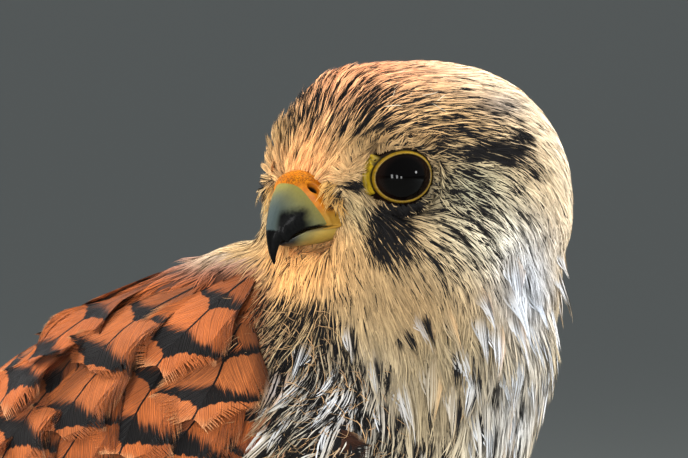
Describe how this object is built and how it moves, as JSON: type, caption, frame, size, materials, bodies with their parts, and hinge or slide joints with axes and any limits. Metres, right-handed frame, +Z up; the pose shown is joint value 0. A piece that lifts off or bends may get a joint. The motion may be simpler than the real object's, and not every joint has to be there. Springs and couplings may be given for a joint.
{
  "type": "common kestrel, standing, life-size model",
  "caption": "Life-size still model of a standing common kestrel, head turned back over its right shoulder, its folded tail reaching the floor.",
  "frame": {"origin": "middle of the underside of the whole bird, on the level of its soles and of its tail's tip", "axes": "+X forward, the way the body heads, +Y to the bird's left, +Z up"},
  "size_m": [0.2602, 0.0988, 0.2033],
  "materials": {
    "plumage": "soft barred and streaked feathers, warm rufous above and buff below",
    "flight_feathers": "smooth, stiff feathers, matt, with dark bars",
    "horn": "polished horn, olive grey, with a black patch and a black tip",
    "cere": "waxy bare skin, orange yellow",
    "bare_skin": "scaly bare skin, deep yellow",
    "eye": "wet, glossy, nearly black",
    "claw": "polished horn, black"
  },
  "bodies": {
    "root": {"head": "plumage", "neck": "plumage", "trunk": "plumage", "wing_left": "plumage", "wing_right": "plumage", "cere": "cere", "bill_upper": "horn", "bill_lower": "horn", "eye_left": "eye", "eye_right": "eye", "tail": "flight_feathers", "wing_tip_left": "flight_feathers", "wing_tip_right": "flight_feathers", "thigh_left": "plumage", "tarsus_left": "bare_skin", "toe_hind_left": "bare_skin", "claw_hind_left": "claw", "toe_inner_left": "bare_skin", "claw_inner_left": "claw", "toe_middle_left": "bare_skin", "claw_middle_left": "claw", "toe_outer_left": "bare_skin", "claw_outer_left": "claw", "thigh_right": "plumage", "tarsus_right": "bare_skin", "toe_hind_right": "bare_skin", "claw_hind_right": "claw", "toe_inner_right": "bare_skin", "claw_inner_right": "claw", "toe_middle_right": "bare_skin", "claw_middle_right": "claw", "toe_outer_right": "bare_skin", "claw_outer_right": "claw"}
  },
  "joints": []
}
